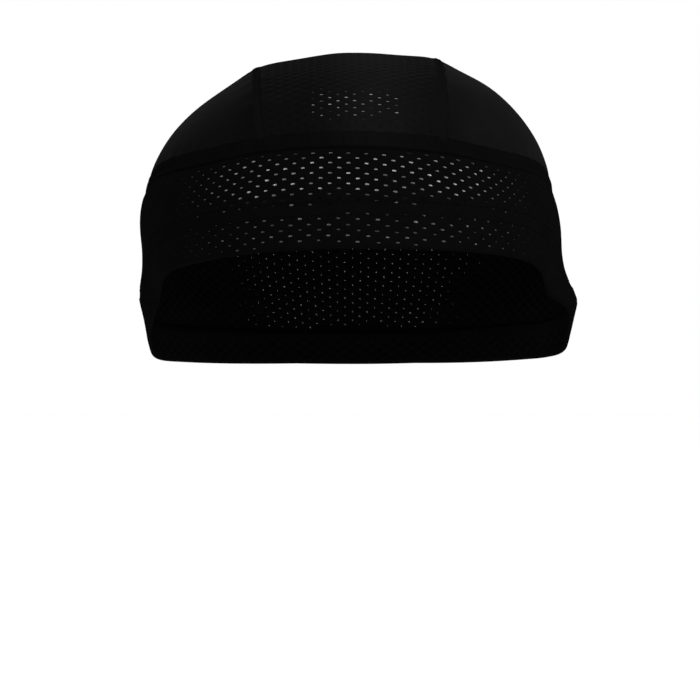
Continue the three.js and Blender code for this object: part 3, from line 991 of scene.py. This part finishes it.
# %% The headband's piercings
CELL = {"width": 3.47, "height": 4.0}
HOLE = {"width": 1.5, "height": 0.56, "taper": 0.35}
BAND_ROWS = 20  # more rows than any part of the headband is high
FIRST_HOLE = 5.1  # from the cloth's upper edge to the row from which the others are counted
BAND_SKEW = 3.0  # how much lower the rows of holes run at the right side, and higher at the left
SEAM_COVER = 3.7  # no hole is nearer than this to the upper edge, where the seam lies
STITCH_COVER = 1.3  # nor nearer than this to the middle of the hem's stitching
PALE_FRONT = {"right": 38, "left": 31, "fade": 50, "rest": 0.01}  # the part whose hole walls are painted pale, as painted light seen through them
PALE_ROWS = {"above": 2.5, "below": 8.0, "fade": 4.5, "bright": (0.22, 0.85)}  # rows given less painted light there
LAST_ROWS = {"height": 3.0, "power": 4}  # so near to the stitching few hole walls get painted light
OPENING = {"rest": 0.55, "vary": (0.86, 1.06)}  # how wide the holes are drawn, beside and in the front part
# Painted light seen through the hem's holes: where in front, and how bright.
HEM_FRONT = {"right": 34, "left": 30, "fade": 52, "bright": 0.42, "vary": (0.35, 1)}
HEM_OPENING = {"rest": 0.5, "vary": (0.7, 1.0)}
HEM_SHIFT = (0.3, 0.2)  # how far the turned ply hides one side or the other of a hole
HEM_ROW_TONE = {"every": 3, "least": 0.35}  # painted light is brightest at every third half row, where the turned ply's own holes line up
chance = np.random.default_rng(11)


def within(x, low, high, fade):
    """1 between low and high, and falling to 0 over the fade at each side."""
    return smooth(np.minimum(x - low, high - x) / fade + 1)


def in_front(x, part):
    """1 in a part of the headband's front, and falling to 0 beside it."""
    off = HEADBAND_GIRTH * (0.5 + CLOTH_TURN / 360) - x
    return within(off, -part["left"], part["right"], part["fade"])


def cell_seeds(name, cells):
    """Seeds from rows of x, y, plain, open, pale and the hole's shift in x and y, in millimetres."""
    x, y, plain, opened, pale, *shifts = cells.T
    places, shifts = np.column_stack([x, y]) * MM, np.column_stack(shifts) * MM
    return seed_mesh(name, places, shifts, plain=plain, open=opened, pale=pale)


def pierced_cloth(name, cells, size, cloth, form, girth, lower=1.0, skew=0.0):
    """Grows a cloth from its cells, whose size is their width and height. All are in millimetres."""
    made = grow(
        name,
        cell_seeds(name + " seeds", cells),
        pierced_tree,
        form=form,
        girth=girth * MM,
        lower=lower * MM,
        skew=skew * MM,
        cell_width=size[0] * MM,
        cell_height=size[1] * MM,
        hole_width=HOLE["width"] * MM,
        hole_height=HOLE["height"] * MM,
        taper=HOLE["taper"],
        wall=KNIT * MM,
        material=cloth,
    )
    print(name, "has", len(cells), "cells and", count_triangles(made), "triangles")
    return made


def upper_cell(x, y, skew, end):
    """A cell above the hem's stitching, which is at end. Its row lies lower by the skew."""
    down = y + skew * smooth(y / SKEW_EASE)
    is_plain = down < SEAM_COVER or down + STITCH_COVER > end
    rows = within(down, FIRST_HOLE + PALE_ROWS["above"], end - PALE_ROWS["below"], PALE_ROWS["fade"])
    bright = rows * chance.uniform(*PALE_ROWS["bright"])
    if down > end - LAST_ROWS["height"]:
        bright = HEM_FRONT["bright"] * chance.uniform(0, 1) ** LAST_ROWS["power"]
    front = in_front(x, PALE_FRONT)
    opened = mix(OPENING["rest"], 1.0, front) * chance.uniform(*OPENING["vary"])
    return x, y, is_plain, opened, mix(PALE_FRONT["rest"], bright, front), 0, 0


def hem_cell(x, level, skew):
    """A cell of the hem, at a level counted in half rows from the stitching."""
    y, height = CELL["height"] * level / 2, HEM_ROWS * CELL["height"]
    eased = skew * smooth(y / SKEW_EASE) * smooth((height - y) / SKEW_EASE)
    at = level + 2 * eased / CELL["height"]
    is_bent = BEND_LEVELS[0] - BEND_MARGIN < at < BEND_LEVELS[1] + BEND_MARGIN
    is_plain = is_bent or at < 1 or at > 2 * HEM_ROWS - 2
    steps = ((level - 2) % HEM_ROW_TONE["every"]) / (HEM_ROW_TONE["every"] - 1)
    bright = HEM_FRONT["bright"] * HEM_ROW_TONE["least"] ** steps * chance.uniform(*HEM_FRONT["vary"])
    shift = [reach * chance.uniform(-1, 1) for reach in HEM_SHIFT]
    opened = mix(HEM_OPENING["rest"], 1.0, in_front(x, HEM_FRONT)) * chance.uniform(*HEM_OPENING["vary"])
    pale = mix(PALE_FRONT["rest"], bright, in_front(x, HEM_FRONT))
    return x, y + LOWER_FROM / MM, is_plain, opened, pale, *shift


def headband_cells():
    """A row for each cell of the headband, as cell_seeds takes them, and how wide they are."""
    columns = 2 * round(HEADBAND_GIRTH / CELL["width"] / 2)
    width, height = HEADBAND_GIRTH / columns, CELL["height"]
    share = np.linspace(0, 1, 2 * columns + 1)
    skews = BAND_SKEW * np.sin(2 * np.pi * share)
    ends = np.interp(share, np.linspace(0, 1, HEADBAND_SHEET["columns"]), UPPER_LENGTHS)
    rows = []
    for column in range(columns):
        x, odd = (column + 0.5) * width, column % 2
        around = slice(2 * column, 2 * column + 3)
        end, skew = ends[around], skews[around]
        for row in range(-1, BAND_ROWS):
            y = FIRST_HOLE + height * (row + odd / 2)
            if 0 < y + height / 2 and y - height / 2 < (end - skew).max():
                rows.append(upper_cell(x, y, skew[1], end.min()))
        rows.extend(hem_cell(x, 2 * row + 1 - odd, skew[1]) for row in range(HEM_ROWS + odd))
    return np.array(rows, float), width


cells, cell_width = headband_cells()
headband = pierced_cloth(
    "mesh_headband",
    cells,
    (cell_width, CELL["height"]),
    band_cloth,
    headband_sheet,
    HEADBAND_GIRTH,
    lower=HEM_ROWS * CELL["height"],
    skew=BAND_SKEW,
)

# %% [markdown]
# ## The crown strip
#
# The strip over the crown is the same cloth. Only the walls of the holes in one patch low in front are
# painted pale, as painted light seen through them, and elsewhere its holes are as dark as the knit.

# %% The crown strip's piercings
STRIP_CELL_HEIGHT = 3.76
# The patch of the strip that gets painted light seen through its holes.
PALE_PATCH = {"x": (23, 52.5), "y": (13, 22), "fade": 6, "bright": 0.5, "vary": (0.1, 1), "power": 1.5}
STRIP_OPENING = {"rest": 0.4, "patch": (0.65, 0.9)}


def strip_cells():
    """A row for each cell of the crown strip, and how wide and high they are."""
    width, fade = STRIP_WIDTH / CROWN_CELL_COLUMNS, PALE_PATCH["fade"]
    count = round(STRIP_LENGTH / STRIP_CELL_HEIGHT)
    height = STRIP_LENGTH / count
    rows = []
    for column in range(CROWN_CELL_COLUMNS):
        x = (column + 0.5) * width
        for row in range(count + column % 2):
            y = height * (row + 0.5 * (1 - column % 2))
            is_side = column in (0, CROWN_CELL_COLUMNS - 1)
            is_plain = is_side or y < SEAM_COVER or y > STRIP_LENGTH - SEAM_COVER
            patch = within(x, *PALE_PATCH["x"], fade) * within(y, *PALE_PATCH["y"], fade)
            bright = PALE_PATCH["bright"] * chance.uniform(*PALE_PATCH["vary"]) ** PALE_PATCH["power"]
            opened = mix(STRIP_OPENING["rest"], chance.uniform(*STRIP_OPENING["patch"]), patch)
            rows.append((x, y, is_plain, opened, bright * patch, 0, 0))
    return np.array(rows, float), (width, height)


cells, cell_size = strip_cells()
crown_strip = pierced_cloth("mesh_crown_strip", cells, cell_size, strip_cloth, strip_sheet, STRIP_WIDTH)

# %% [markdown]
# ## Closed bodies from two grids
#
# The smooth pieces need no piercings. Each is an outer grid of points and an inner one, with walls
# between their edges, so that it is a closed body like the real cloth and not a bare surface.

# %% A wall between two grids


def wall_faces(columns, rows, wraps):
    """Faces of a closed body, whose outer points come first and then as many inner ones."""
    c, r = np.meshgrid(np.arange(columns if wraps else columns - 1), np.arange(rows - 1), indexing="ij")
    c, r = c.ravel(), r.ravel()
    after = (c + 1) % columns
    outer = np.stack([c * rows + r, after * rows + r, after * rows + r + 1, c * rows + r + 1], axis=1)
    count = columns * rows
    faces = [outer, outer[:, ::-1] + count]
    across = np.arange(columns if wraps else columns - 1)
    for row, step in ((0, 1), (rows - 1, -1)):
        first, second = (across * rows + row, (across + 1) % columns * rows + row)[::step]
        faces.append(np.stack([second, first, first + count, second + count], axis=1))
    if not wraps:
        down = np.arange(rows - 1)
        for column, step in ((0, 1), (columns - 1, -1)):
            first, second = (column * rows + down, column * rows + down + 1)[::step]
            faces.append(np.stack([first, second, second + count, first + count], axis=1))
    return np.concatenate(faces)


def closed_body(name, outer, inner, uv, material, wraps=False):
    """A body between an outer and an inner grid of points in millimetres, (columns, rows, xyz)."""
    columns, rows = outer.shape[:2]
    mesh = bpy.data.meshes.new(name)
    points = np.concatenate([outer.reshape(-1, 3), inner.reshape(-1, 3)]) * MM
    mesh.from_pydata(points.tolist(), [], wall_faces(columns, rows, wraps).tolist())
    set_uv(mesh, np.concatenate([uv.reshape(-1, 2), uv.reshape(-1, 2)]) * MM)
    mesh.materials.append(material)
    work = bmesh.new()
    work.from_mesh(mesh)
    bmesh.ops.remove_doubles(work, verts=work.verts, dist=WELD)
    work.to_mesh(mesh)
    work.free()
    mesh.shade_smooth()
    return add_object(name, mesh)


def flat_uv(points):
    """The flat place of each point of a grid: how far it has run across and along the grid."""
    return np.stack([run_along(points), run_along(points.swapaxes(0, 1)).swapaxes(0, 1)], axis=-1)


print("bodies can be closed")

# %% [markdown]
# ## The side panels
#
# A side panel is a smooth piece shaped like a slice of orange peel. It lies between the crown seam
# and the band seam, which meet in front and behind, so its grid narrows to nothing at both ends.

# %% Side panels
PANEL_GRID = {"along": 141, "across": 49, "ease": 0.35}  # ease sets the points closer at both ends


def panel_points(side):
    """Points of the form from the crown seam, row 0, down to the band seam."""
    share = np.linspace(0, 1, PANEL_GRID["along"])
    share = mix(share, smooth(share), PANEL_GRID["ease"])
    top = crown_path(lambda turn: crown_seam_x(side, turn) + side * EDGE_GAP / 2, share)
    start_yaw, end_yaw = (np.mod(side * yaw_of(top[end]), 360) for end in (0, -1))
    yaw = side * mix(start_yaw, end_yaw, share)
    bottom = form_round(yaw, band_seam_drop(yaw) - EDGE_GAP / 2)
    t = np.linspace(0, 1, PANEL_GRID["across"])[:, None]
    aim = mix(top[:, None], bottom[:, None], t) - CORE
    points = form_along(np.broadcast_to(CORE, aim.shape), aim / np.linalg.norm(aim, axis=-1, keepdims=True))
    points[:, 0], points[:, -1] = top, bottom
    return points if side == LEFT else points[::-1]


def make_panel(name, side):
    points = panel_points(side)
    outer, inner = cloth_point(points), cloth_point(points, KNIT)
    return closed_body(name, outer, inner, flat_uv(outer), smooth_cloths[side])


side_left = make_panel("knit_crown_side_left", LEFT)
side_right = make_panel("knit_crown_side_right", RIGHT)
print("side panels:", count_triangles(side_left), "and", count_triangles(side_right), "triangles")

# %% [markdown]
# ## Stitches
#
# A flat seam is covered by a chain stitch: needle threads run along it in rows of short dashes, and a
# looper thread zigzags between them. One dash of thread is a short bent tube. The tree instances it on
# seed points that say how far each dash is turned and how long it is, and lays it on the seam's form.

# %% The stitching tree
THREAD = {"radius": 0.17, "arch": 0.2, "sides": 5, "bends": 4}
STITCH = {"needle": 2.6, "looper": 1.5, "dash": 0.8, "rise": 0.07}  # dash is a share of the needle's step


def make_stitch_tree():
    numbers = (*LAY_SIZES, "Radius", "Arch")
    nodes, given = new_tree("stitching", numbers, Material="Material", Sides="Int", Bends="Int")
    ends = {
        "Start": nodes.join(-0.5, 0.0, given["Arch"] * -1),
        "Middle": nodes.join(0.0, 0.0, given["Arch"]),
        "End": nodes.join(0.5, 0.0, given["Arch"] * -1),
    }
    bend = nodes.add("GeometryNodeCurveQuadraticBezier", {"Resolution": given["Bends"], **ends})()
    circle = {"Resolution": given["Sides"], "Radius": given["Radius"]}
    section = nodes.add("GeometryNodeCurvePrimitiveCircle", circle)()
    dashes = nodes.add("GeometryNodeInstanceOnPoints", {"Points": given["Geometry"], "Instance": bend})()
    turn = nodes.join(0.0, 0.0, nodes.attribute("turn"))
    turned = nodes.add("GeometryNodeRotateInstances", {"Instances": dashes, "Rotation": turn})()
    scale = nodes.join(nodes.attribute("size"), 1.0, 1.0)
    sized = nodes.add("GeometryNodeScaleInstances", {"Instances": turned, "Scale": scale})()
    threads = nodes.add("GeometryNodeRealizeInstances", {0: sized})()
    swept = {"Curve": threads, "Profile Curve": section, "Fill Caps": True}
    tubes = nodes.add("GeometryNodeCurveToMesh", swept)()
    tubes = store(nodes, tubes, "flat", nodes.place(), VECTOR)
    tubes = store(nodes, tubes, "UVMap", nodes.attribute("flat", VECTOR), "FLOAT2", "CORNER")
    return end_piece(nodes, lay(nodes, tubes, given), given["Material"])


stitch_tree = make_stitch_tree()


def dash_row(length, count, y, turn, size):
    """Evenly spaced dashes along x: the x, y, turn and size of each."""
    x = (np.arange(count) + 0.5) * length / count
    return np.column_stack([x, *(np.broadcast_to(value, count) for value in (y, turn, size))])


def stitch_row(length, y):
    """The dashes of a needle thread along x, at a flat y."""
    count = round(length / STITCH["needle"])
    return dash_row(length, count, y, 0.0, length / count * STITCH["dash"])


def zigzag(length, y_low, y_high):
    """The dashes of a looper thread that crosses from one needle row to the other and back."""
    count = 2 * round(length / STITCH["looper"] / 2)
    rise, run = y_high - y_low, length / count
    turn = np.arctan2(rise, run) * np.where(np.arange(count) % 2, -1, 1)
    return dash_row(length, count, (y_low + y_high) / 2, turn, math.hypot(rise, run))


def sew(name, dashes, thread, form, girth, lower=1.0):
    """Grows the threads whose dashes are given as flat x, y, turn and size, in millimetres."""
    seeds = seed_mesh(name + " seeds", dashes[:, :2] * MM, turn=dashes[:, 2], size=dashes[:, 3] * MM)
    return grow(
        name,
        seeds,
        stitch_tree,
        form=form,
        girth=girth * MM,
        lower=lower * MM,
        radius=THREAD["radius"] * MM,
        arch=THREAD["arch"] * MM,
        sides=THREAD["sides"],
        bends=THREAD["bends"],
        material=thread,
    )


print("nodes in the stitching tree:", len(stitch_tree.nodes))

# %% [markdown]
# ## The seams
#
# Each seam is a flat tape of thread over the joint of two pieces of cloth. The tape is a thin body with
# rounded edges that sink into the knit, and the needle rows press two grooves along it.

# %% Seam tapes
TAPE = {"sunk": 0.5, "under": 0.6, "power": 5, "groove": 0.22}  # depths, and how flat the face is
LANE = 0.31  # of the tape's width, from its middle to a needle row
GROOVE_WIDTH = 0.125  # of half the tape's width
TAPE_HEIGHTS = {"crown": 0.25, "band": 0.45}
TAPE_GRID = {"across": 17, "crown": 361, "band": 900}


def tape_rise(t, height):
    """How high a tape's face is at t across it, where 0 and 1 are its edges."""
    off = np.abs(2 * t - 1)
    rise = mix(height, -TAPE["sunk"], off ** TAPE["power"])
    return rise - TAPE["groove"] * fall_off(off - 2 * LANE, GROOVE_WIDTH)


def tape_threads(name, outer, width, thread):
    """The needle and looper threads of a tape, laid on its outer grid."""
    run = run_along(outer[:, outer.shape[1] // 2])
    across = np.linspace(0, 1, outer.shape[1])
    form = form_sheet(name + " form", outer, outwards_at(outer), run / run[-1], across, width * MM)
    rows = [width * (0.5 + offset) for offset in (-LANE, LANE)]
    dashes = np.concatenate([stitch_row(run[-1], y) for y in rows] + [zigzag(run[-1], *rows)])
    threads = sew(name, dashes, thread, form, run[-1])
    bpy.data.objects.remove(form)
    return threads


def joined(name, *parts):
    """One object from several of one material."""
    work = bmesh.new()
    for part in parts:
        work.from_mesh(part.data)
    mesh = bpy.data.meshes.new(name)
    work.to_mesh(mesh)
    work.free()
    mesh.materials.append(parts[0].data.materials[0])
    for part in parts:
        bpy.data.objects.remove(part)
    return add_object(name, mesh)


def make_seam(name, points, length, width, height, thread, wraps=False):
    """A seam's tape with its threads on top, over grid points of the form (along, across, xyz)."""
    t = np.linspace(0, 1, points.shape[1])
    stitches = 2 * np.pi * np.linspace(0, length, len(points))[:, None] / STITCH["needle"]
    ridges = STITCH["rise"] * np.cos(stitches) * np.sin(np.pi * t)
    outer, inner = cloth_point(points, -tape_rise(t, height) - ridges), cloth_point(points, TAPE["under"])
    tape = closed_body(name + " tape", outer, inner, flat_uv(outer), thread, wraps)
    if wraps:
        outer = np.concatenate([outer, outer[:1]])
    return joined(name, tape, tape_threads(name + " threads", outer, width, thread))


def make_crown_seam(name, side):
    half = CROWN_SEAM_WIDTH / 2
    points, length = strip_points(
        lambda turn: crown_seam_x(side, turn) - half,
        lambda turn: crown_seam_x(side, turn) + half,
        TAPE_GRID["across"],
        TAPE_GRID["crown"],
    )
    points = points.swapaxes(0, 1)[::-1]
    return make_seam(name, points, length, CROWN_SEAM_WIDTH, TAPE_HEIGHTS["crown"], crown_thread)


def make_band_seam(name):
    yaw = np.linspace(180, -180, TAPE_GRID["band"], endpoint=False)[:, None]
    across = np.linspace(0, BAND_SEAM_WIDTH, TAPE_GRID["across"]) - BAND_SEAM_ABOVE
    points = form_round(yaw, band_seam_drop(yaw) + across)
    looks = {"height": TAPE_HEIGHTS["band"], "thread": band_thread}
    return make_seam(name, points, HEADBAND_GIRTH, BAND_SEAM_WIDTH, **looks, wraps=True)


cover_seam_left = make_crown_seam("cover_seam_crown_left", LEFT)
cover_seam_right = make_crown_seam("cover_seam_crown_right", RIGHT)
cover_seam_band = make_band_seam("cover_seam_band")
for piece in (cover_seam_left, cover_seam_right, cover_seam_band):
    print(piece.name, count_triangles(piece), "triangles")

# %% [markdown]
# The hem is caught by two needle rows five millimetres apart. They sit in the groove which they draw.

# %% The hem's stitching
HEM_LANE = 2.5  # from the middle of the hem's stitching to each needle row


def hem_rows():
    """Two needle rows round the headband, above and below the line that joins its two zones."""
    share = np.linspace(0, 1, HEADBAND_SHEET["columns"])
    row = stitch_row(HEADBAND_GIRTH, 0)
    above, below = row.copy(), row.copy()
    above[:, 1] = np.interp(row[:, 0] / HEADBAND_GIRTH, share, UPPER_LENGTHS) - HEM_LANE
    straight = (HEM_TURN - FOLD_RADIUS) / (BEND_LEVELS[0] / 2 * CELL["height"])
    below[:, 1] = LOWER_FROM / MM + HEM_LANE / straight
    return np.concatenate([above, below])


hem_stitching = sew(
    "hem_stitching", hem_rows(), band_thread, headband_sheet, HEADBAND_GIRTH, HEM_ROWS * CELL["height"]
)
for sheet in (strip_sheet, headband_sheet):
    bpy.data.objects.remove(sheet)
print("hem stitching:", count_triangles(hem_stitching), "triangles")

# %% [markdown]
# ## Attaching the pieces
#
# Each piece is listed with the solid of the frame that it takes the place of and the record's material
# that it has; it is attached to the root, and that solid is hidden. The four pieces of cloth are
# stretched sheets, and their flat sizes are those of the relaxed cut, about a tenth smaller than as worn.

# %% Pieces, sheets and sizes
RELAXED = 0.9

dressed = [
    (crown_strip, "mesh", "crown_centre_panel"),
    (side_left, "knit", "crown_side_panel_left"),
    (side_right, "knit", "crown_side_panel_right"),
    (headband, "mesh", "headband"),
    (cover_seam_left, "thread", "crown_seam_left"),
    (cover_seam_right, "thread", "crown_seam_right"),
    (cover_seam_band, "thread", "band_seam"),
]
for piece, slot, node in dressed:
    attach(piece, "root")
    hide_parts(node)
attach(hem_stitching, "root")


def flat_size(width, length):
    return (round(width * RELAXED * MM, 3), round(length * RELAXED * MM, 3))


PANEL_FLAT = {"width": 95.0, "length": 240.0, "area": 0.72}  # as worn, and the share that it fills
headband_height = float(UPPER_LENGTHS.mean()) + 2 * HEM_TURN
sheets = [
    (crown_strip, flat_size(STRIP_WIDTH, STRIP_LENGTH), 1.0),
    (side_left, flat_size(PANEL_FLAT["width"], PANEL_FLAT["length"]), PANEL_FLAT["area"]),
    (side_right, flat_size(PANEL_FLAT["width"], PANEL_FLAT["length"]), PANEL_FLAT["area"]),
    (headband, flat_size(headband_height, HEADBAND_GIRTH), 1.0),
]
for piece, flat, area in sheets:
    flat[0] * flat[1] * area
    print(piece.name, "is cut from", flat, "m")

# %% Sizes and the end
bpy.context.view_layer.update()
pieces = [piece for piece, *_ in dressed] + [hem_stitching]
print("triangles in all:", sum(count_triangles(piece) for piece in pieces))
